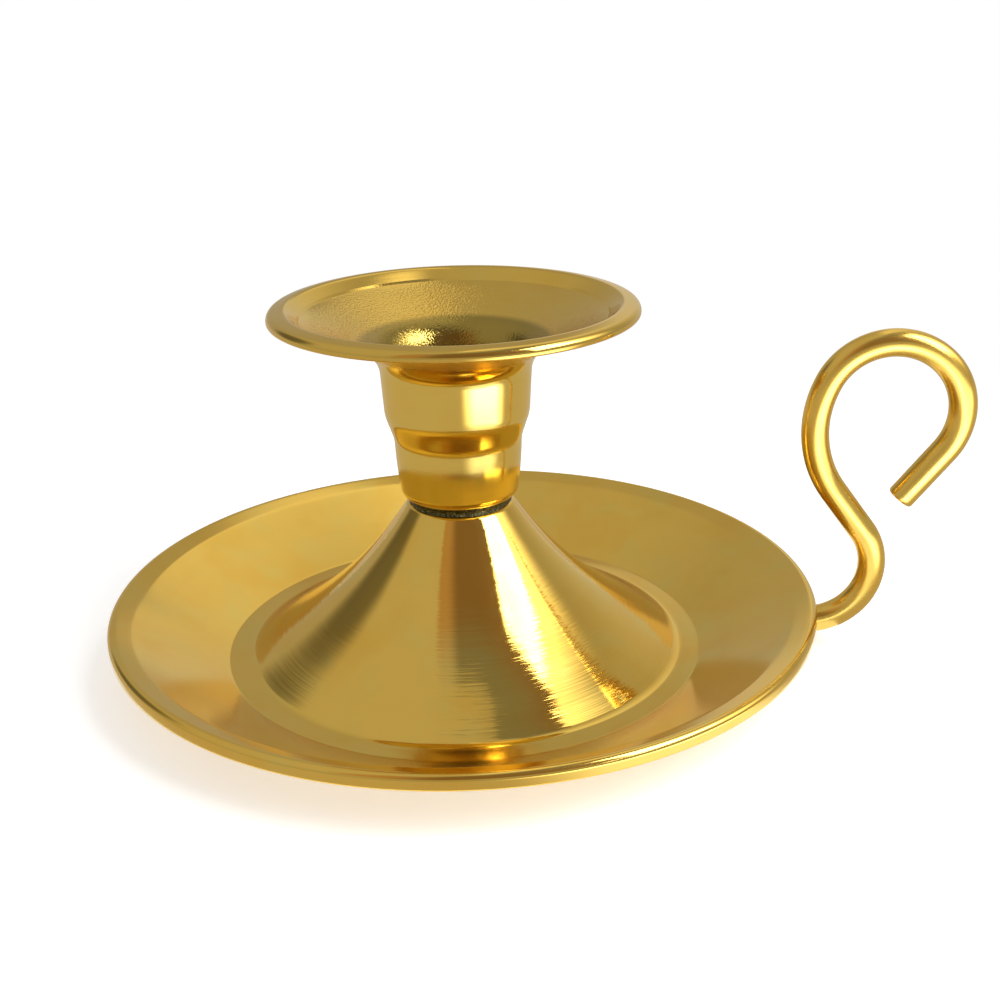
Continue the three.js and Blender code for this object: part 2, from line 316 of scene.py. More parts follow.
dish_outline = even_runs(sheet_outline(*dish_profile(), SHEET))
vertices, faces = turned_grid(dish_outline, DISH_SEGMENTS, dish_waver)
dish = link_mesh("dish_and_cone", vertices, faces, outline_run(dish_outline, DISH_SEGMENTS))
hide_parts("base_dish")
print(f"dish: {len(dish.data.polygons)} faces")

# %% [markdown]
# ## Candle cup and drip pan
#
# The cup is a second spun sheet: a flat floor, a lower band, a soft step, an upper band, and a pan that
# flares out in a shallow bowl, rises from a small crease and turns down in a broad rounded lip.

# %% Sizes of the cup
CUP_CORNER_RADIUS = 1.0
SOCKET_FLOOR_RADIUS = 9.05
BELLY_RADIUS = 9.62
BELLY_HEIGHT = 5.2
BELLY_ROUND_RADIUS = 60.0
LOWER_BAND_RADIUS = 9.82
LOWER_BAND_HEIGHT = 9.7
UPPER_BAND_RADIUS = 11.2
SHOULDER_HEIGHT = 4.1
SHOULDER_ROUND_RADIUS = 6.0
THROAT_RADIUS = 11.8
UPPER_BAND_HEIGHT = 10.5
THROAT_FLARE_RADIUS = 5.8
BOWL_RADIUS = 24.85
BOWL_RISE = 5.7
CREASE_WIDTH = 0.35
CREASE_HEIGHT = 0.4
CREASE_ROUND_RADIUS = 0.15
CREST_WIDTH = 2.0
CREST_HEIGHT = 1.75
CREST_ROUND_RADIUS = 1.4
PAN_RADIUS = 30.0
LIP_FALL = 0.55
LIP_CURL_RADIUS = 1.3
LIP_EDGE_DROP = 1.15
CUP_SEGMENTS = 160
CUP_FLOOR_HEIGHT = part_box("candle_cup")[0].z / MM + SHEET

belly = np.array([BELLY_RADIUS, CUP_FLOOR_HEIGHT + BELLY_HEIGHT])
band_top = np.array([LOWER_BAND_RADIUS, CUP_FLOOR_HEIGHT + LOWER_BAND_HEIGHT])
step_top = np.array([UPPER_BAND_RADIUS, band_top[1] + SHOULDER_HEIGHT])
throat = np.array([THROAT_RADIUS, step_top[1] + UPPER_BAND_HEIGHT])
bowl_edge = np.array([BOWL_RADIUS, throat[1] + BOWL_RISE])
lip_crease = bowl_edge + [CREASE_WIDTH, CREASE_HEIGHT]
lip_crest = lip_crease + [CREST_WIDTH, CREST_HEIGHT]
lip_corner = np.array([PAN_RADIUS, lip_crest[1] - LIP_FALL])
print(f"pan {2 * PAN_RADIUS:.0f} mm across, its crest at {lip_crest[1]:.1f} mm")


# %% Candle cup
def cup_profile():
    """Inner face of the cup from the axis out: floor, two bands, bowl of the pan, crease and lip."""
    corners = [
        (0.0, CUP_FLOOR_HEIGHT), (SOCKET_FLOOR_RADIUS, CUP_FLOOR_HEIGHT), belly, band_top, step_top,
        throat, bowl_edge, lip_crease, lip_crest, lip_corner, lip_corner - [0.0, LIP_EDGE_DROP],
    ]
    radii = [
        CUP_CORNER_RADIUS, BELLY_ROUND_RADIUS, SHOULDER_ROUND_RADIUS, SHOULDER_ROUND_RADIUS,
        THROAT_FLARE_RADIUS, CREASE_ROUND_RADIUS, CREASE_ROUND_RADIUS, CREST_ROUND_RADIUS, LIP_CURL_RADIUS,
    ]
    return rounded_profile(corners, radii)


cup_outline = even_runs(sheet_outline(*cup_profile(), SHEET))
vertices, faces = turned_grid(cup_outline, CUP_SEGMENTS, still)
cup = link_mesh("cup_and_pan", vertices, faces, outline_run(cup_outline, CUP_SEGMENTS))
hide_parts("candle_cup")
print(f"cup: {len(cup.data.polygons)} faces")

# %% [markdown]
# ## Handle
#
# The handle is one length of round rod, bent cold round pins. Its centre line is straight runs and arcs that
# meet without a kink, and the tube is a circle carried along that line. The line stays in one plane, so the
# circle is spanned by the line's normal in the plane and by the plane's own normal, with no twist.

# %% Sizes of the handle
ROD_RADIUS = 2.25
TAIL_BEND_RADIUS = 4.5
LEVEL_LENGTH = 1.0
LOWER_BEND_RADIUS = 10.4
LOWER_BEND_ANGLE = 126.3
STEM_LENGTH = 8.7
STEM_CURVE_RADIUS = 18.4
STEM_CURVE_ANGLE = 61.3
LOOP_RADIUS = 11.3
LOOP_ANGLE = 192.8
LOOP_END_LENGTH = 10.6
TAIL_TABLE_CLEARANCE = 0.4
ROD_RIM_CLEARANCE = 1.15
SOLDER_GAP = 0.3
HANDLE_SOLDER_FILM = 0.5

slope = brim - foot_crease
slope = slope / np.linalg.norm(slope)
slope_angle = np.arctan2(slope[1], slope[0])
seat_depth = SHEET + HANDLE_SOLDER_FILM + 2 * SOLDER_GAP + ROD_RADIUS
tail_line = foot_crease - left_of(slope) * seat_depth
tail_start = (TAIL_TABLE_CLEARANCE + ROD_RADIUS * slope[0] - tail_line[1]) / slope[1]
rod_height = RIM_EDGE_HEIGHT - ROD_RIM_CLEARANCE - ROD_RADIUS
tail_corner = (rod_height - tail_line[1]) / slope[1]
tail_length = tail_corner - TAIL_BEND_RADIUS * np.tan(slope_angle / 2) - tail_start
tail_end = tail_line + slope * tail_start
print(f"tail of the rod: {tail_length:.1f} mm under a slope of {np.degrees(slope_angle):.1f} degrees")

# %% Handle
ROD_SIDES = 48
ROD_STEP = 0.5
ROD_EDGE = 0.5
END_POINTS = 5
END_DISC = 0.3


def bent_line(start, heading, runs):
    """Points and headings along straight runs (length, 0) and bends (radius, turn), in the order given."""
    places, headings = [np.asarray(start)[None]], [np.array([heading])]
    for size, turn in runs:
        here, facing = places[-1][-1], headings[-1][-1]
        length = size * abs(turn) if turn else size
        along = np.linspace(0, 1, int(np.ceil(length / ROD_STEP)) + 1)[1:]
        if turn:
            centre = here + left_of(heading_vector(facing)) * np.sign(turn) * size
            facings = facing + turn * along
            places.append(centre - left_of(heading_vector(facings)) * np.sign(turn) * size)
        else:
            facings = np.full(len(along), facing)
            places.append(here + heading_vector(facing) * size * along[:, None])
        headings.append(facings)
    return np.concatenate(places), np.concatenate(headings)


def rod_tube(line, headings):
    """Circle of the rod carried along a line in the upright plane, with a small round at each cut end.

    Ring i is line_i + R_i (cos b left_i + sin b y), where R_i falls to zero over the rounds at the ends.
    """
    quarter = np.radians(np.linspace(90, 0, END_POINTS))
    shrink = np.concatenate([[END_DISC * ROD_RADIUS], ROD_RADIUS - ROD_EDGE * (1 - np.cos(quarter))])
    ahead = np.concatenate([[0.0], ROD_EDGE * (1 - np.sin(quarter))])
    first = line[0] + heading_vector(headings[0]) * ahead[:, None]
    last = line[-1] - heading_vector(headings[-1]) * ahead[::-1, None]
    centre = np.concatenate([line[:1], first, line[2:-2], last, line[-1:]])
    facing = np.concatenate([
        np.full(len(first) + 1, headings[0]), headings[2:-2], np.full(len(last) + 1, headings[-1])])
    middle = np.full(len(line) - 4, ROD_RADIUS)
    radius = np.concatenate([[0.0], shrink, middle, shrink[::-1], [0.0]])
    around = 2 * np.pi * np.arange(ROD_SIDES) / ROD_SIDES
    side = left_of(heading_vector(facing))
    across = radius[:, None] * np.cos(around)
    plane = centre[:, None] + side[:, None] * across[..., None]
    return np.stack([plane[..., 0], radius[:, None] * np.sin(around), plane[..., 1]], axis=-1)


def tube_mesh(rings):
    """Vertices and faces of a tube whose first and last rings have shrunk to one point each."""
    count, sides = len(rings) - 2, rings.shape[1]
    index = np.arange(count * sides).reshape(count, sides)
    after = np.roll(index, -1, axis=1)
    quads = np.stack([index[:-1], after[:-1], after[1:], index[1:]], axis=-1).reshape(-1, 4)
    start, end = count * sides, count * sides + 1
    first = np.stack([np.full(sides, start), after[0], index[0]], axis=-1)
    last = np.stack([np.full(sides, end), index[-1], after[-1]], axis=-1)
    vertices = np.concatenate([rings[1:-1].reshape(-1, 3), rings[0, :1], rings[-1, :1]])
    return vertices, quads.tolist() + first.tolist() + last.tolist()


rod_line, rod_headings = bent_line(tail_end, slope_angle, [
    (tail_length, 0.0),
    (TAIL_BEND_RADIUS, -slope_angle),
    (LEVEL_LENGTH, 0.0),
    (LOWER_BEND_RADIUS, np.radians(LOWER_BEND_ANGLE)),
    (STEM_LENGTH, 0.0),
    (STEM_CURVE_RADIUS, -np.radians(STEM_CURVE_ANGLE)),
    (LOOP_RADIUS, -np.radians(LOOP_ANGLE)),
    (LOOP_END_LENGTH, 0.0),
])
rod_rings = rod_tube(rod_line, rod_headings)
vertices, faces = tube_mesh(rod_rings)
ring_run = np.arange(len(rod_rings) - 2) * ROD_STEP
rod_run = np.concatenate([np.repeat(ring_run, ROD_SIDES), [0.0, 0.0]])
handle = link_mesh("finger_loop", vertices, faces, rod_run)
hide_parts("handle")
print(f"handle: {len(rod_line)} rings, {len(handle.data.polygons)} faces")

# %% [markdown]
# ## Solder under the cup
#
# The cup stands on the cone in a bead of soft solder, which shows as a thin grey line. It is a ring with a
# hollow outer face that bites a little into both sheets. A bead laid by hand is never even, so its outer face
# swells and shrinks about the axis.

# %% Solder seam
CUP_SOLDER_WIDTH = 2.7
CUP_SOLDER_WRAP = 24.0
CUP_SOLDER_WAIST = 0.25
SOLDER_BITE = 0.03
SEAM_SWELL = 0.10
SEAM_SWELL_REACH = 1.5
SEAM_WAVES = [(5, 0.3, 1.0), (11, 1.7, 0.7), (23, 4.1, 0.5), (41, 2.6, 0.35)]
SEAM_FACE_POINTS = 9
SEAM_SEGMENTS = 320


def round_centre(before, corner, after, radius):
    """Centre of an arc that touches both sides of a corner: radius / sin(half angle) along the bisector."""
    sides = np.array([before, after], float) - corner
    sides = sides / np.linalg.norm(sides, axis=1)[:, None]
    bisector = sides.sum(axis=0) / np.linalg.norm(sides.sum(axis=0))
    return corner + bisector * radius / np.sqrt((1 - sides[0] @ sides[1]) / 2)


def curve_through(start, pull, end, count):
    """Quadratic curve from start to end that leaves and arrives in the direction of the pull point."""
    t = np.linspace(0, 1, count)[:, None]
    return (1 - t) ** 2 * start + 2 * t * (1 - t) * pull + t ** 2 * end


def seam_outline():
    """Closed section of the seam: over the cup's corner, down the hollow face, and back over the cone."""
    floor_corner = np.array([SOCKET_FLOOR_RADIUS, CUP_FLOOR_HEIGHT])
    cup_round = round_centre((0.0, CUP_FLOOR_HEIGHT), floor_corner, belly, CUP_CORNER_RADIUS)
    shoulder = np.array([CONE_TOP_RADIUS, CONE_TOP_HEIGHT])
    cone_round = round_centre((0.0, CONE_TOP_HEIGHT), shoulder, cone_waist, CONE_SHOULDER_BEND + SHEET)
    wrap = np.radians(CUP_SOLDER_WRAP)
    upper, _ = arc_points(cup_round, CUP_CORNER_RADIUS + SHEET - SOLDER_BITE, 0.0, wrap)
    lower, _ = arc_points(cone_round, CONE_SHOULDER_BEND + SHEET - SOLDER_BITE, 0.0, -wrap)
    waist = (upper[-1] + lower[-1]) / 2 - [2 * CUP_SOLDER_WAIST, 0.0]
    face = curve_through(upper[-1], waist, lower[-1], SEAM_FACE_POINTS)
    inner = min(cup_round[0], cone_round[0]) - CUP_SOLDER_WIDTH
    back = np.array([[inner, lower[0, 1]], [inner, upper[0, 1]]])
    return np.concatenate([upper, face[1:-1], lower[::-1], back])


def ring_grid(outline, segments, swell):
    """Vertices and faces of a closed section turned about the axis.

    swell(angle) is added to the radius of the outer points, in proportion to how far out they lie.
    """
    angle = 2 * np.pi * np.arange(segments) / segments
    radius, height = (column[:, None] for column in outline.T)
    share = np.clip((radius - radius.max() + SEAM_SWELL_REACH) / SEAM_SWELL_REACH, 0, 1)
    radius = radius + share * swell(angle)
    points = np.stack([radius * np.cos(angle), radius * np.sin(angle), height + 0 * angle], axis=-1)
    index = np.arange(points.shape[0] * segments).reshape(-1, segments)
    below, after = np.roll(index, -1, axis=0), np.roll(index, -1, axis=1)
    quads = np.stack([index, below, np.roll(below, -1, axis=1), after], axis=-1).reshape(-1, 4)
    return points.reshape(-1, 3), quads.tolist()


def seam_swell(angle):
    """Sum of sines of four unlike whole numbers per turn, so that the bead repeats nowhere but closes."""
    return SEAM_SWELL * wave_sum(angle, SEAM_WAVES) / 2


seam_section = seam_outline()
vertices, faces = ring_grid(seam_section, SEAM_SEGMENTS, seam_swell)
seam = link_mesh("solder_seam", vertices, faces, np.zeros(len(vertices)))
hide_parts("cup_solder")
print(f"seam: {len(seam.data.polygons)} faces, {np.ptp(seam_section[:, 1]):.2f} mm high")

# %% [markdown]
# ## Solder under the dish
#
# The tail of the rod lies along the underside of the slope in a saddle of solder: a film over the rod that
# runs out into a hollow fillet on each side. The section is carried along the tail, and it narrows towards
# both ends as a drop of solder does.

# %% Solder saddle
HANDLE_SOLDER_WRAP = 58.0
HANDLE_SOLDER_REACH = 1.2
HANDLE_SOLDER_EDGE = 0.12
SADDLE_ROWS = 40
SADDLE_END_WRAP = 18.0
SADDLE_END_REACH = 0.1
SADDLE_TIP_DROP = 0.3
SADDLE_FULLNESS = 0.94
SADDLE_WAVES = [(9, 0.4, 0.06), (23, 1.9, 0.04)]
GROOVE_POINTS = 13
FILLET_POINTS = 8
TOP_POINTS = 12


def saddle_section(fullness):
    """Section across the rod, as (across, up) from the dish's underside, for a fullness from 0 to 1.

    The groove follows the rod over a wrap that grows with the fullness, and so does each fillet's reach.
    """
    wrap = np.radians(SADDLE_END_WRAP + (HANDLE_SOLDER_WRAP - SADDLE_END_WRAP) * fullness)
    rod_centre = np.array([0.0, -HANDLE_SOLDER_FILM - 2 * SOLDER_GAP - ROD_RADIUS])
    sweep = np.linspace(np.pi / 2 - wrap, np.pi / 2 + wrap, GROOVE_POINTS)
    groove = rod_centre + (ROD_RADIUS - SOLDER_BITE) * heading_vector(sweep)
    reach = groove[0, 0] + SADDLE_END_REACH + HANDLE_SOLDER_REACH * fullness
    toe = np.array([reach, -HANDLE_SOLDER_EDGE])
    pull = np.array([groove[0, 0], -HANDLE_SOLDER_EDGE])
    right = curve_through(toe, pull, groove[0], FILLET_POINTS)
    top = np.linspace([-reach, SOLDER_BITE], [reach, SOLDER_BITE], TOP_POINTS)
    return np.concatenate([top, right, groove[1:-1], right[::-1] * [-1, 1]])


def saddle_rings():
    """Sections along the tail, closed to one point at each end; the fullness is a rounded hump."""
    along = np.linspace(0, 1, SADDLE_ROWS)
    hump = np.sqrt(1 - (2 * along - 1) ** 4)
    fullness = np.clip(hump * (SADDLE_FULLNESS + wave_sum(along, SADDLE_WAVES)), 0, 1)
    sections = np.stack([saddle_section(share) for share in fullness])
    tip = 0 * sections[:1] - [0, SADDLE_TIP_DROP]
    sections = np.concatenate([tip, sections, tip])
    along = np.concatenate([[0.0], along, [1.0]])[:, None, None] * tail_length
    underside = tail_end + left_of(slope) * (seat_depth - SHEET)
    plane = underside + slope * along + left_of(slope) * sections[..., 1:]
    return np.stack([plane[..., 0], sections[..., 0], plane[..., 1]], axis=-1)


vertices, faces = tube_mesh(saddle_rings())
saddle = link_mesh("solder_saddle", vertices, faces, np.zeros(len(vertices)))
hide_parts("handle_solder")
print(f"saddle: {len(saddle.data.polygons)} faces over {tail_length:.1f} mm")

# %% [markdown]
# ## Building a finish from nodes
#
# Every finish here is a small tree of nodes on one Principled shader. Short helpers keep the trees readable:
# they add a node and join its inputs, do arithmetic, blend colours, and link the results to the shader.

# %% Node helpers
def add_node(tree, kind, inputs=None, **settings):
    """A node with its settings; an input given as a socket is linked, any other value is set."""
    node = tree.nodes.new(kind)
    for name, value in settings.items():
        setattr(node, name, value)
    for key, value in (inputs or {}).items():
        if isinstance(value, bpy.types.NodeSocket):
            tree.links.new(value, node.inputs[key])
        else:
            node.inputs[key].default_value = value
    return node


def calc(tree, operation, *values):
    """Output of a Math node over numbers or sockets."""
    return add_node(tree, "ShaderNodeMath", dict(enumerate(values)), operation=operation).outputs[0]


def vector_calc(tree, operation, *values):
    """Vector output of a Vector Math node over vectors or sockets."""
    return add_node(tree, "ShaderNodeVectorMath", dict(enumerate(values)), operation=operation).outputs[0]


def length_of(tree, vector):
    """Length of a vector."""
    return add_node(tree, "ShaderNodeVectorMath", {0: vector}, operation="LENGTH").outputs["Value"]


def ramp(tree, value, low, high, start=0.0, end=1.0):
    """Smooth step of a value from start at low to end at high."""
    sizes = {"Value": value, "From Min": low, "From Max": high, "To Min": start, "To Max": end}
    return add_node(tree, "ShaderNodeMapRange", sizes, interpolation_type="SMOOTHSTEP").outputs[0]


def blend_colour(tree, factor, first, second):
    """Blend from one colour to another."""
    colours = [(*colour, 1.0) if isinstance(colour, tuple) else colour for colour in (first, second)]
    inputs = {0: factor, 6: colours[0], 7: colours[1]}
    return add_node(tree, "ShaderNodeMix", inputs, data_type="RGBA").outputs[2]


def tinge(tree, colour, other, value, span, share):
    """Blend of a colour towards another by a share, where a value has passed a span."""
    return blend_colour(tree, calc(tree, "MULTIPLY", ramp(tree, value, *span), share), colour, other)


def noise(tree, vector, detail=2.0, roughness=0.5):
    """Cloud noise about 0.5 with features one unit wide in the vector's own units."""
    inputs = {"Vector": vector, "Scale": 1.0, "Detail": detail, "Roughness": roughness}
    return add_node(tree, "ShaderNodeTexNoise", inputs).outputs[0]


def scaled_place(tree, place, size):
    """The place divided by a size in millimetres."""
    return vector_calc(tree, "DIVIDE", place, (size, size, size))


def bare_tree(owner):
    """The emptied node tree of a material or a world."""
    owner.use_nodes = True
    owner.node_tree.nodes.clear()
    return owner.node_tree


def new_finish(name):
    """A metal material with its tree, its shader, and Object coordinates in millimetres about the axis."""
    material = bpy.data.materials.new(name)
    material.use_nodes = True
    tree = material.node_tree
    shader = tree.nodes["Principled BSDF"]
    shader.inputs["Metallic"].default_value = 1.0
    place = add_node(tree, "ShaderNodeTexCoord").outputs["Object"]
    place = vector_calc(tree, "SUBTRACT", place, (axis_x, 0.0, 0.0))
    scaled = add_node(tree, "ShaderNodeVectorMath", {0: place, "Scale": 1 / MM}, operation="SCALE")
    return material, tree, shader, scaled.outputs[0]


def dress_shader(tree, shader, colour, rough, height):
    """Link a colour, a roughness and a bump of true height, in metres, to the shader."""
    bump = add_node(tree, "ShaderNodeBump", {"Height": height, "Distance": 1.0, "Strength": 1.0})
    tree.links.new(colour, shader.inputs["Base Color"])
    tree.links.new(rough, shader.inputs["Roughness"])
    tree.links.new(bump.outputs[0], shader.inputs["Normal"])


# %% [markdown]
# ## Marks on turned brass
#
# A spun sheet is polished on the lathe, so its marks are rings: fine lines that run round the axis and change
# only slowly along it. Noise over (length along the profile, direction from the axis) gives such lines,
# because the direction changes slowly where the length changes fast. The lines are real grooves in the bump,
# so they fray the edges of reflections. A few pin-sized pits break them.

# %% Rings and pits
PIT_CORE = 0.4


def ring_vector(tree, place, line_pitch, drift):
    """Vector (cos a, sin a) times the drift, with the run over the line pitch as its height."""
    level = vector_calc(tree, "MULTIPLY", place, (1.0, 1.0, 0.0))
    outward = vector_calc(tree, "NORMALIZE", level)
    around = vector_calc(tree, "MULTIPLY", outward, (drift, drift, 0.0))
    run = add_node(tree, "ShaderNodeAttribute", attribute_name="run").outputs["Fac"]
    height = add_node(tree, "ShaderNodeCombineXYZ", {"Z": calc(tree, "DIVIDE", run, line_pitch)}).outputs[0]
    return vector_calc(tree, "ADD", around, height)


def outside_ring(tree, place, ring):
    """Smooth step of the distance from the axis: nought inside the first radius, one past the second."""
    level = vector_calc(tree, "MULTIPLY", place, (1.0, 1.0, 0.0))
    return ramp(tree, length_of(tree, level), *ring)


def pit_mask(tree, place, spacing, size, share):
    """One in pin-sized spots: near the centres of Voronoi cells, in the given share of the cells."""
    inputs = {"Vector": scaled_place(tree, place, spacing), "Scale": 1.0}
    cells = add_node(tree, "ShaderNodeTexVoronoi", inputs)
    spot = ramp(tree, cells.outputs["Distance"], size / spacing, PIT_CORE * size / spacing)
    tint = add_node(tree, "ShaderNodeSeparateColor", {"Color": cells.outputs["Color"]}).outputs[0]
    return calc(tree, "MULTIPLY", spot, calc(tree, "LESS_THAN", tint, share))


# %% [markdown]
# ## Spun and polished brass
#
# Under the lines lie smudges of a redder and a greener gold. One sheet carries two finishes that run into
# each other: the cone keeps its turned lines while the dish is buffed, and the pan is sanded while its lip is
# buffed. So each finish has a value inside a ring and one outside it, with a smooth step between. Inside the
# throat the colour is blended far towards a dark brown, a painted shade for the dark socket, and a trace of
# that brown dulls the rest of the pan.

# %% Turned brass
GOLD = (0.82, 0.575, 0.135)
PALE_GOLD = (0.82, 0.625, 0.165)
RED_GOLD = (0.79, 0.515, 0.10)
GREEN_GOLD = (0.76, 0.59, 0.16)
PIT_BROWN = (0.10, 0.055, 0.018)
# Dark brown of the pan: inside the throat it is a painted shade for the dark socket, outside a trace that
# dulls the brass.
SHADE_AND_SKIN_BROWN = (0.30, 0.23, 0.06)
THROAT_SHADE_SHARE = 0.88
SKIN_OUTSIDE = 0.16
LINE_DRIFT = 1.5
BAND_DRIFT = 1.1
BAND_LINES = 9
BAND_DEPTH = 2.0
BAND_TINT = 0.25
BAND_SPAN = (0.5, 0.75)
CLOUD_SIZE = 13.0
CLOUD_SPAN = (0.42, 0.72)
TINT_SIZE = 9.0
TINT_SHIFT = (37.0, 11.0, 5.0)
TINT_SPAN = (0.45, 0.75)
SAND_SIZE = 0.36
PIT_SPACING = 4.5
PIT_SIZE = 0.16
PIT_BLUR = 0.3
PIT_DEPTH = 0.02
LEAST_WEAR = 0.675
CLOUD_WEAR = 0.25
BAND_WEAR = 0.4


def turned_brass(name, ring, blur, depth, grain, pitch, pits=0.06, smudge=0.5, gold=GOLD, throat_shade_ring=None):
    """Brass with turned lines; blur, line depth and sanded grain are pairs, inside and outside a ring.

    Where a throat shade ring is given, the brass inside it is blended far towards dark brown as painted
    shade, and a trace of that brown dulls the brass outside it.
    """
    material, tree, shader, place = new_finish(name)
    outside = outside_ring(tree, place, ring)
    blur, depth, grain = (calc(tree, "MULTIPLY_ADD", outside, pair[1] - pair[0], pair[0])
                          for pair in (blur, depth, grain))
    lines = noise(tree, ring_vector(tree, place, pitch, LINE_DRIFT), detail=3.0, roughness=0.65)
    bands = noise(tree, ring_vector(tree, place, BAND_LINES * pitch, BAND_DRIFT))
    cloud = noise(tree, scaled_place(tree, place, CLOUD_SIZE), detail=3.0)
    shifted = vector_calc(tree, "ADD", place, TINT_SHIFT)
    tint = noise(tree, scaled_place(tree, shifted, TINT_SIZE))
    sand = noise(tree, scaled_place(tree, place, SAND_SIZE), detail=1.0)
    pit = pit_mask(tree, place, PIT_SPACING, PIT_SIZE, pits)
    colour = tinge(tree, gold, RED_GOLD, cloud, CLOUD_SPAN, smudge)
    colour = tinge(tree, colour, GREEN_GOLD, tint, TINT_SPAN, smudge)
    colour = tinge(tree, colour, RED_GOLD, bands, BAND_SPAN, BAND_TINT)
    # Painted shade: inside the throat ring the colour goes far towards dark brown; outside it, a trace dulls
    # the brass.
    if throat_shade_ring:
        bare = outside_ring(tree, place, throat_shade_ring)
        shade_and_skin = calc(tree, "MULTIPLY_ADD", bare, SKIN_OUTSIDE - THROAT_SHADE_SHARE, THROAT_SHADE_SHARE)
        colour = blend_colour(tree, shade_and_skin, colour, SHADE_AND_SKIN_BROWN)
    colour = blend_colour(tree, pit, colour, PIT_BROWN)
    wear = calc(tree, "MULTIPLY_ADD", cloud, CLOUD_WEAR, LEAST_WEAR)
    wear = calc(tree, "MULTIPLY_ADD", bands, BAND_WEAR, wear)
    rough = calc(tree, "MULTIPLY_ADD", pit, PIT_BLUR, calc(tree, "MULTIPLY", blur, wear))
    groove = calc(tree, "MULTIPLY_ADD", bands, BAND_DEPTH, lines)
    height = calc(tree, "MULTIPLY", groove, depth)
    height = calc(tree, "MULTIPLY_ADD", sand, grain, height)
    height = calc(tree, "MULTIPLY_ADD", pit, -PIT_DEPTH, height)
    dress_shader(tree, shader, colour, rough, calc(tree, "MULTIPLY", height, MM))
    return material


# %% Four turned finishes
cone_edge = (CONE_FOOT_RADIUS - 1.0, CONE_FOOT_RADIUS + 1.5)
lip_edge = (PAN_RADIUS - 8.0, PAN_RADIUS - 4.0)
throat_edge = (THROAT_RADIUS + 3.0, THROAT_RADIUS + 4.6)
neck_edge = (THROAT_RADIUS + 1.5, THROAT_RADIUS + 3.5)
dish_brass = turned_brass(
    "turned_dish_brass", cone_edge, blur=(0.06, 0.13), depth=(0.022, 0.0015), grain=(0.0, 0.0),
    pitch=0.5, pits=0.09, smudge=0.8)
under_brass = turned_brass(
    "dull_underside_brass", cone_edge, blur=(0.34, 0.34), depth=(0.006, 0.006), grain=(0.001, 0.001),
    pitch=0.5, pits=0.3, smudge=0.9)
cup_brass = turned_brass(
    "polished_cup_brass", neck_edge, blur=(0.12, 0.34), depth=(0.0045, 0.0045), grain=(0.0, 0.0),
    pitch=0.35, pits=0.03, smudge=0.3, gold=PALE_GOLD)
# The pan's throat ring bounds the painted shade inside the socket.
pan_brass = turned_brass(
    "sanded_pan_brass", lip_edge, blur=(0.13, 0.13), depth=(0.005, 0.001), grain=(0.075, 0.0),
    pitch=0.6, pits=0.05, throat_shade_ring=throat_edge)
print("turned finishes:", len(bpy.data.materials))

# %% [markdown]
# ## Which face takes which finish
#
# Each sheet is one mesh, but its two faces were worked apart. The rows of a turned grid follow the outline,
# so a finish can be chosen per row: one number for each piece of the outline, repeated round the axis. The
# two fans at the ends take the finish of the rows beside them.

# %% Finishes on the sheets
def paint_rows(piece, finishes, face_rows, rows, segments):
    """The first finish on the rows of the upper face and the second on the rest of a turned grid."""
    for finish in finishes:
        piece.data.materials.append(finish)
    choice = np.where(np.arange(rows) < face_rows, 0, 1)
    ends = np.repeat(choice[[0, -1]], segments)
    choice = np.concatenate([np.repeat(choice[1:-1], segments), ends])
    piece.data.polygons.foreach_set("material_index", choice.astype(np.int32))


dish_face = len(even_runs(dish_profile()[0]))
cup_face = len(even_runs(cup_profile()[0]))
paint_rows(dish, [dish_brass, under_brass], dish_face, len(dish_outline) - 1, DISH_SEGMENTS)
paint_rows(cup, [pan_brass, cup_brass], cup_face, len(cup_outline) - 1, CUP_SEGMENTS)
print(f"upper faces: {dish_face} rows of the dish, {cup_face} rows of the cup")

# %% [markdown]
# ## Drawn rod
#
# Rod is drawn through a die, so its scratches run along it. The tube's rings carry the length along the rod,
# and noise that changes slowly along it and fast across it gives long scratches. The handle lies in one
# plane, so the distance from that plane, one of the Object coordinates, tells the scratches apart.

# %% Rod brass
SCRATCH_LENGTH = 6.0
SCRATCHES_PER_MM = 2.4
SCRATCH_DEPTH = 0.006
SCRATCH_SPAN = (0.55, 0.75)
SCRATCH_TINT = 0.3
ROD_CLOUD_SIZE = 7.0
ROD_CLOUD_SPAN = (0.4, 0.7)
ROD_CLOUD_TINT = 0.5
ROD_PIT_SPACING = 3.0
ROD_PIT_SIZE = 0.14
ROD_PITS = 0.08
ROD_BLUR = 0.16
ROD_CLOUD_BLUR = 0.14


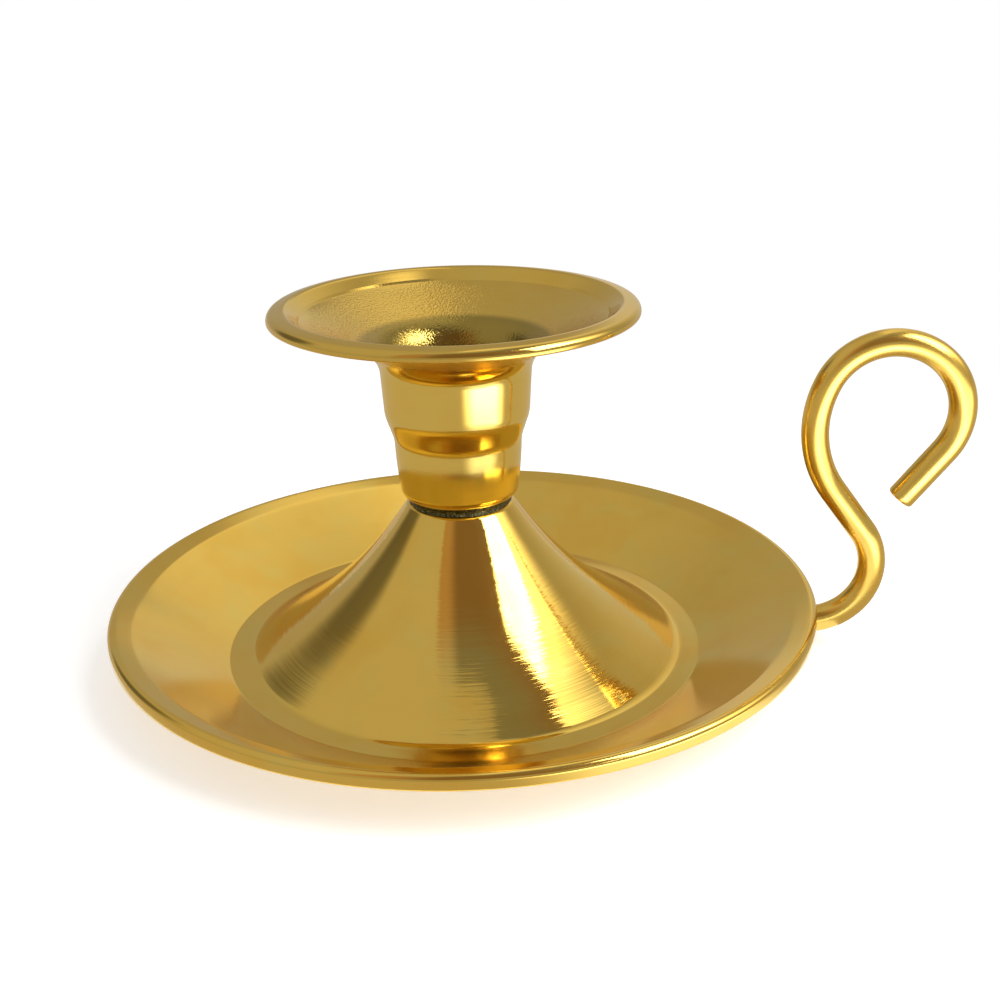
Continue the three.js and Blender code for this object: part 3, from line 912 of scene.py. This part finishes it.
def rod_brass():
    """Polished rod: long fine scratches, smudged gold and a few pits."""
    material, tree, shader, place = new_finish("drawn_rod_brass")
    run = add_node(tree, "ShaderNodeAttribute", attribute_name="run").outputs["Fac"]
    along = calc(tree, "DIVIDE", run, SCRATCH_LENGTH)
    along = add_node(tree, "ShaderNodeCombineXYZ", {"X": along}).outputs[0]
    across = vector_calc(tree, "MULTIPLY", place, (0.0, SCRATCHES_PER_MM, 0.0))
    scratches = noise(tree, vector_calc(tree, "ADD", along, across), detail=3.0, roughness=0.7)
    cloud = noise(tree, scaled_place(tree, place, ROD_CLOUD_SIZE), detail=3.0)
    pit = pit_mask(tree, place, ROD_PIT_SPACING, ROD_PIT_SIZE, ROD_PITS)
    colour = tinge(tree, GOLD, RED_GOLD, cloud, ROD_CLOUD_SPAN, ROD_CLOUD_TINT)
    colour = tinge(tree, colour, GREEN_GOLD, scratches, SCRATCH_SPAN, SCRATCH_TINT)
    colour = blend_colour(tree, pit, colour, PIT_BROWN)
    rough = calc(tree, "MULTIPLY_ADD", cloud, ROD_CLOUD_BLUR, ROD_BLUR)
    height = calc(tree, "MULTIPLY", scratches, SCRATCH_DEPTH * MM)
    height = calc(tree, "MULTIPLY_ADD", pit, -PIT_DEPTH * MM, height)
    dress_shader(tree, shader, colour, rough, height)
    return material


handle.data.materials.append(rod_brass())
print("rod finish:", handle.data.materials[0].name)

# %% [markdown]
# ## Grey solder
#
# Old soft solder is a dull, grey-green, grainy metal with bright specks where it was wiped. It is the same
# kind of tree without the rings.

# %% Solder grey
SOLDER_GREY = (0.11, 0.105, 0.052)
SOLDER_DARK = (0.028, 0.026, 0.012)
SOLDER_BRIGHT = (0.40, 0.39, 0.24)
GRAIN_SIZE = 0.45
GRAIN_SPAN = (0.35, 0.62)
GRAIN_DEPTH = 0.12
SPECK_SIZE = 0.22
SPECK_SPAN = (0.60, 0.72)
SOLDER_BLUR = 0.28
GRAIN_BLUR = 0.3


def solder_grey():
    """Grainy grey metal: dark hollows, mid grey and bright specks from two sizes of noise."""
    material, tree, shader, place = new_finish("grey_solder")
    grain = noise(tree, scaled_place(tree, place, GRAIN_SIZE), detail=3.0, roughness=0.65)
    specks = noise(tree, scaled_place(tree, place, SPECK_SIZE), detail=1.0)
    colour = blend_colour(tree, ramp(tree, grain, *GRAIN_SPAN), SOLDER_DARK, SOLDER_GREY)
    colour = blend_colour(tree, ramp(tree, specks, *SPECK_SPAN), colour, SOLDER_BRIGHT)
    rough = calc(tree, "MULTIPLY_ADD", grain, GRAIN_BLUR, SOLDER_BLUR)
    dress_shader(tree, shader, colour, rough, calc(tree, "MULTIPLY", grain, GRAIN_DEPTH * MM))
    return material


solder = solder_grey()
for piece in (seam, saddle):
    piece.data.materials.append(solder)
print("solder finish:", solder.name)

# %% [markdown]
# ## The window
#
# Polished metal shows its surroundings more than itself, so the studio decides half of the picture. A tall
# window in the wall on the right lights the stick and gives the white highlights. An area lamp is the plain
# way to make one: it is soft because it is large, and the brass shows it as a bright panel.

# %% Window
WINDOW_RADIANCE = 6.5
WINDOW_DISTANCE = 0.40
WINDOW_FRONT = -0.40
WINDOW_BACK = 0.0
WINDOW_SILL = 0.25
WINDOW_TOP = 0.98


def add_window():
    """Soft lamp in the plane x = distance that faces -x; its power is radiance times pi times its area."""
    data = bpy.data.lights.new("window", "AREA")
    data.shape = "RECTANGLE"
    data.size, data.size_y = WINDOW_BACK - WINDOW_FRONT, WINDOW_TOP - WINDOW_SILL
    data.energy = WINDOW_RADIANCE * np.pi * data.size * data.size_y
    middle_y = (WINDOW_FRONT + WINDOW_BACK) / 2
    middle_z = (WINDOW_SILL + WINDOW_TOP) / 2
    matrix = np.eye(4)
    matrix[:3, :3] = [[0, 0, 1], [1, 0, 0], [0, 1, 0]]
    matrix[:3, 3] = [axis_x + WINDOW_DISTANCE, middle_y, middle_z]
    lamp = bpy.data.objects.new("window", data)
    lamp.matrix_world = Matrix(matrix.tolist())
    lamp.visible_camera = False
    bpy.context.scene.collection.objects.link(lamp)
    return lamp


window = add_window()
print(f"window lamp {window.data.energy:.1f} W")

# %% [markdown]
# ## Screens
#
# Everything else that the brass shows is a screen that only mirror rays see: it is not in the picture, casts
# no shadow and does not light the floor. Each screen is a grid of points about the stick, and its glow is
# painted by azimuth, elevation or distance from the studio's centre. The thin line down the cup and the cone
# needs no screen, because it is the handle's own reflection.

# %% Screen helpers
STUDIO_CENTRE = np.array([axis_x + 5 * MM, -15 * MM, 12 * MM])


def direction(azimuth, elevation):
    """Unit vectors (sin az cos el, -cos az cos el, sin el), in degrees, azimuth 0 on the camera's side."""
    az, el = np.broadcast_arrays(np.radians(azimuth), np.radians(elevation))
    return np.stack([np.sin(az) * np.cos(el), -np.cos(az) * np.cos(el), np.sin(el)], axis=-1)


def grid_faces(rows, columns):
    """Quads of a grid of points with the given rows and columns."""
    index = np.arange(rows * columns).reshape(rows, columns)
    corners = [index[:-1, :-1], index[:-1, 1:], index[1:, 1:], index[1:, :-1]]
    return np.stack(corners, axis=-1).reshape(-1, 4).tolist()


def add_screen(name, grid, paint):
    """Grid of points that only mirror rays see, with the colour and glow that paint(tree, place) gives."""
    mesh = bpy.data.meshes.new(name)
    mesh.from_pydata(grid.reshape(-1, 3).tolist(), [], grid_faces(*grid.shape[:2]))
    material = bpy.data.materials.new(name)
    tree = bare_tree(material)
    place = add_node(tree, "ShaderNodeTexCoord").outputs["Object"]
    place = vector_calc(tree, "SUBTRACT", place, tuple(STUDIO_CENTRE))
    colour, level = paint(tree, place)
    glow = add_node(tree, "ShaderNodeEmission", {"Color": colour, "Strength": level})
    add_node(tree, "ShaderNodeOutputMaterial", {"Surface": glow.outputs[0]})
    mesh.materials.append(material)
    screen = bpy.data.objects.new(name, mesh)
    screen.visible_camera = False
    screen.visible_shadow = False
    screen.visible_diffuse = False
    bpy.context.scene.collection.objects.link(screen)
    screen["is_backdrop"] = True
    return screen


def azimuth_of(tree, place):
    """Azimuth of a place in degrees, 0 on the camera's side and growing towards the handle."""
    axes = add_node(tree, "ShaderNodeSeparateXYZ", {0: place}).outputs
    turn = calc(tree, "ARCTAN2", axes[0], calc(tree, "MULTIPLY", axes[1], -1.0))
    return calc(tree, "DEGREES", turn)


def elevation_of(tree, place):
    """Elevation of a place in degrees."""
    unit = vector_calc(tree, "NORMALIZE", place)
    rise = add_node(tree, "ShaderNodeSeparateXYZ", {0: unit}).outputs[2]
    return calc(tree, "DEGREES", calc(tree, "ARCSINE", rise))


def lobe(tree, place, azimuth, elevation, inner, outer):
    """One within an angle of a direction, falling smoothly to nought at a second angle."""
    unit = vector_calc(tree, "NORMALIZE", place)
    inputs = {0: unit, 1: tuple(direction(azimuth, elevation))}
    cosine = add_node(tree, "ShaderNodeVectorMath", inputs, operation="DOT_PRODUCT").outputs["Value"]
    return ramp(tree, cosine, np.cos(np.radians(outer)), np.cos(np.radians(inner)))


# %% [markdown]
# ## Tent
#
# A dome of warm grey cloth stands over the stick. It is lighter beside the window and on the wall behind on
# the right, which has a dim notch halfway up and runs on past the back low down, and it has a dark opening on
# the left. Spans are degrees of azimuth or elevation; a lobe is a direction with an inner and an outer angle.

# %% Tent
WARM_CLOTH = (1.0, 0.91, 0.74)
TENT_RADIUS = 1.5
TENT_COLUMNS = 49
TENT_ROWS = 19
CLOTH_LEVEL = 0.47
CLOTH_GLOW = 0.12
GLOW_LOBE = (-70.0, 55.0, 10.0, 60.0)
WALL_SPAN = (122.0, 168.0)
WALL_HEIGHT = (0.0, 70.0)
WALL_LEVELS = (0.22, 0.58)
PAST_BACK_SPAN = (-172.0, -178.0)
PAST_BACK_HEIGHT = (26.0, 20.0)
NOTCH_SPAN = (168.0, 175.0)
NOTCH_TOP = (52.0, 42.0)
NOTCH_FOOT = (21.0, 28.0)
BESIDE_NEAR = (70.0, 92.0)
BESIDE_FAR = (124.0, 94.0)
BESIDE_LOBE = (102.0, 48.0, 14.0, 36.0)
BESIDE_LEVEL = 2.1
OPENING_LOBE = (-112.0, 20.0, 8.0, 22.0)
OPENING_DEPTH = 0.66


def tent_paint(tree, place):
    """Level of the cloth plus the wall behind and the light beside the window, times the dark opening."""
    around = azimuth_of(tree, place)
    height = elevation_of(tree, place)
    level = calc(tree, "MULTIPLY_ADD", lobe(tree, place, *GLOW_LOBE), CLOTH_GLOW, CLOTH_LEVEL)
    past_back = ramp(tree, around, *PAST_BACK_SPAN)
    past_back = calc(tree, "MULTIPLY", past_back, ramp(tree, height, *PAST_BACK_HEIGHT))
    wall = calc(tree, "ADD", ramp(tree, around, *WALL_SPAN), past_back)
    notch = calc(tree, "MULTIPLY", ramp(tree, height, *NOTCH_TOP), ramp(tree, height, *NOTCH_FOOT))
    notch = calc(tree, "MULTIPLY", notch, ramp(tree, around, *NOTCH_SPAN))
    wall = calc(tree, "MULTIPLY", wall, calc(tree, "SUBTRACT", 1.0, notch))
    wall = calc(tree, "MULTIPLY", ramp(tree, height, *WALL_HEIGHT, *WALL_LEVELS), wall)
    level = calc(tree, "ADD", level, wall)
    beside = calc(tree, "MULTIPLY", ramp(tree, around, *BESIDE_NEAR), ramp(tree, around, *BESIDE_FAR))
    beside = calc(tree, "MULTIPLY", beside, lobe(tree, place, *BESIDE_LOBE))
    level = calc(tree, "MULTIPLY_ADD", beside, BESIDE_LEVEL, level)
    opening = calc(tree, "MULTIPLY_ADD", lobe(tree, place, *OPENING_LOBE), -OPENING_DEPTH, 1.0)
    return (*WARM_CLOTH, 1.0), calc(tree, "MULTIPLY", level, opening)


tent_columns = np.linspace(-180, 180, TENT_COLUMNS)
tent_azimuth, tent_elevation = np.meshgrid(tent_columns, np.linspace(0, 90, TENT_ROWS))
tent_grid = STUDIO_CENTRE + TENT_RADIUS * direction(tent_azimuth, tent_elevation)
tent = add_screen("tent", tent_grid, tent_paint)
print(f"tent: {len(tent.data.polygons)} faces")

# %% [markdown]
# ## Table top
#
# Below the stick the brass shows the table: warm and dim in front and on the left, with a patch of daylight
# on the window's side. The screen starts just outside the rim, so that close to the dish the brass shows the
# floor and its shadow.

# %% Table top
DAYLIGHT = (1.0, 1.0, 1.0)
WARM_TABLE = (1.0, 0.86, 0.66)
TABLE_RADII = [0.066, 0.20, 0.60, 1.50]
TABLE_COLUMNS = 73
TABLE_LIFT = 0.0005
TABLE_LEVEL = 0.60
PATCH_LEVEL = 4.4
PATCH_NEAR = (8.0, 38.0)
PATCH_FAR = (68.0, 90.0)
PATCH_INNER = (0.08, 0.10, 0.2, 1.0)
PATCH_OUTER = (0.12, 0.19, 1.0, 0.4)


def table_paint(tree, place):
    """Even level plus a patch of daylight, bounded in azimuth and by distances in metres."""
    around = azimuth_of(tree, place)
    lit = calc(tree, "SUBTRACT", ramp(tree, around, *PATCH_NEAR), ramp(tree, around, *PATCH_FAR))
    distance = length_of(tree, place)
    patch = calc(tree, "MULTIPLY", ramp(tree, distance, *PATCH_INNER), ramp(tree, distance, *PATCH_OUTER))
    level = calc(tree, "MULTIPLY_ADD", calc(tree, "MULTIPLY", lit, patch), PATCH_LEVEL, TABLE_LEVEL)
    return blend_colour(tree, lit, WARM_TABLE, DAYLIGHT), level


table_azimuth, table_radius = np.meshgrid(np.linspace(-180, 180, TABLE_COLUMNS), TABLE_RADII)
table_grid = direction(table_azimuth, 0.0) * table_radius[..., None] + [axis_x, 0.0, TABLE_LIFT]
table = add_screen("table", table_grid, table_paint)
print(f"table: {len(table.data.polygons)} faces")

# %% [markdown]
# ## Drape
#
# A brown drape hangs in front and over towards the window. Its lower and upper edges are elevations that
# change with the azimuth, and the grid runs evenly from one edge to the other.

# %% Drape
DRAPE_BROWN = (1.0, 0.64, 0.40)
DRAPE_DISTANCE = 0.35
DRAPE_ROWS = 9
DRAPE_COLUMNS = 74
DRAPE_SPAN = (-34, 112)
DRAPE_LOW = ([-34, 54, 58, 60, 112], [25, 25, 45, 60, 61.5])
DRAPE_HIGH = ([-34, 0, 40, 65, 112], [74, 76, 77, 80, 76])
DRAPE_SIDES = (-24.0, -3.0, 0.50, 0.25)
DRAPE_GREY = (60.0, 75.0)


def drape_paint(tree, place):
    """Brown that is lighter at the left edge, and grey above."""
    level = ramp(tree, azimuth_of(tree, place), *DRAPE_SIDES)
    grey = ramp(tree, elevation_of(tree, place), *DRAPE_GREY)
    return blend_colour(tree, grey, DRAPE_BROWN, DAYLIGHT), level


drape_azimuth = np.linspace(*DRAPE_SPAN, DRAPE_COLUMNS)
drape_low = np.interp(drape_azimuth, *DRAPE_LOW)
drape_high = np.interp(drape_azimuth, *DRAPE_HIGH)
drape_elevation = np.linspace(drape_low, drape_high, DRAPE_ROWS)
drape_grid = STUDIO_CENTRE + DRAPE_DISTANCE * direction(drape_azimuth, drape_elevation)
drape = add_screen("drape", drape_grid, drape_paint)
print(f"drape: {len(drape.data.polygons)} faces")

# %% [markdown]
# ## Walls and floor
#
# The world is plain and gives an even fill. The floor is pale and keeps the object's shadow. What the camera
# and the metal see of floor and walls is white: Light Path tells their rays from those that only carry light,
# and far from the object the floor goes over to pure white.

# %% Room
ROOM_GREY = 0.50
FLOOR_GREY = 0.80
FLOOR_LIFT = 0.50
FLOOR_NEAR = 0.09
FLOOR_FAR = 0.24
FLOOR_HALF = 8.0

scene = bpy.context.scene
scene.view_settings.view_transform = "Standard"


def seen_rays(tree):
    """One for camera, glossy and transmission rays, nought for rays that only carry light."""
    path = add_node(tree, "ShaderNodeLightPath").outputs
    seen = calc(tree, "MAXIMUM", path["Is Camera Ray"], path["Is Glossy Ray"])
    return calc(tree, "MAXIMUM", seen, path["Is Transmission Ray"])


def build_room():
    """World: white where it is seen, and an even grey fill for all other rays."""
    world = bpy.data.worlds.new("room")
    scene.world = world
    tree = bare_tree(world)
    strength = calc(tree, "MULTIPLY_ADD", seen_rays(tree), 1.0 - ROOM_GREY, ROOM_GREY)
    inputs = {"Color": (1.0, 1.0, 1.0, 1.0), "Strength": strength}
    background = add_node(tree, "ShaderNodeBackground", inputs)
    add_node(tree, "ShaderNodeOutputWorld", {"Surface": background.outputs[0]})


def floor_material():
    """Pale floor that takes light and shadow, lifted for seen rays, and pure white far from the object."""
    material = bpy.data.materials.new("pale_floor")
    tree = bare_tree(material)
    distance = length_of(tree, add_node(tree, "ShaderNodeTexCoord").outputs["Object"])
    seen = seen_rays(tree)
    paint = add_node(tree, "ShaderNodeBsdfDiffuse", {"Color": (FLOOR_GREY, FLOOR_GREY, FLOOR_GREY, 1.0)})
    lift = add_node(tree, "ShaderNodeEmission", {"Strength": calc(tree, "MULTIPLY", seen, FLOOR_LIFT)})
    near = add_node(tree, "ShaderNodeAddShader", {0: paint.outputs[0], 1: lift.outputs[0]})
    white = add_node(tree, "ShaderNodeEmission", {"Strength": 1.0})
    share = calc(tree, "MULTIPLY", ramp(tree, distance, FLOOR_NEAR, FLOOR_FAR), seen)
    mixed = add_node(tree, "ShaderNodeMixShader", {0: share, 1: near.outputs[0], 2: white.outputs[0]})
    add_node(tree, "ShaderNodeOutputMaterial", {"Surface": mixed.outputs[0]})
    return material


build_room()
floor_corners = [(-1, -1, 0), (1, -1, 0), (1, 1, 0), (-1, 1, 0)]
floor_mesh = bpy.data.meshes.new("floor")
floor_mesh.from_pydata((FLOOR_HALF * np.array(floor_corners)).tolist(), [], [(0, 1, 2, 3)])
floor_mesh.materials.append(floor_material())
floor = bpy.data.objects.new("floor", floor_mesh)
scene.collection.objects.link(floor)
floor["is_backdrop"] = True
print("room and floor ready")

# %% Size against the imported model
visual_box = [list(corner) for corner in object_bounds()]
growth = np.ptp(visual_box, axis=0) - np.ptp(cad_box, axis=0)
print("size, visual minus packed, mm:", np.round(growth / MM, 3))
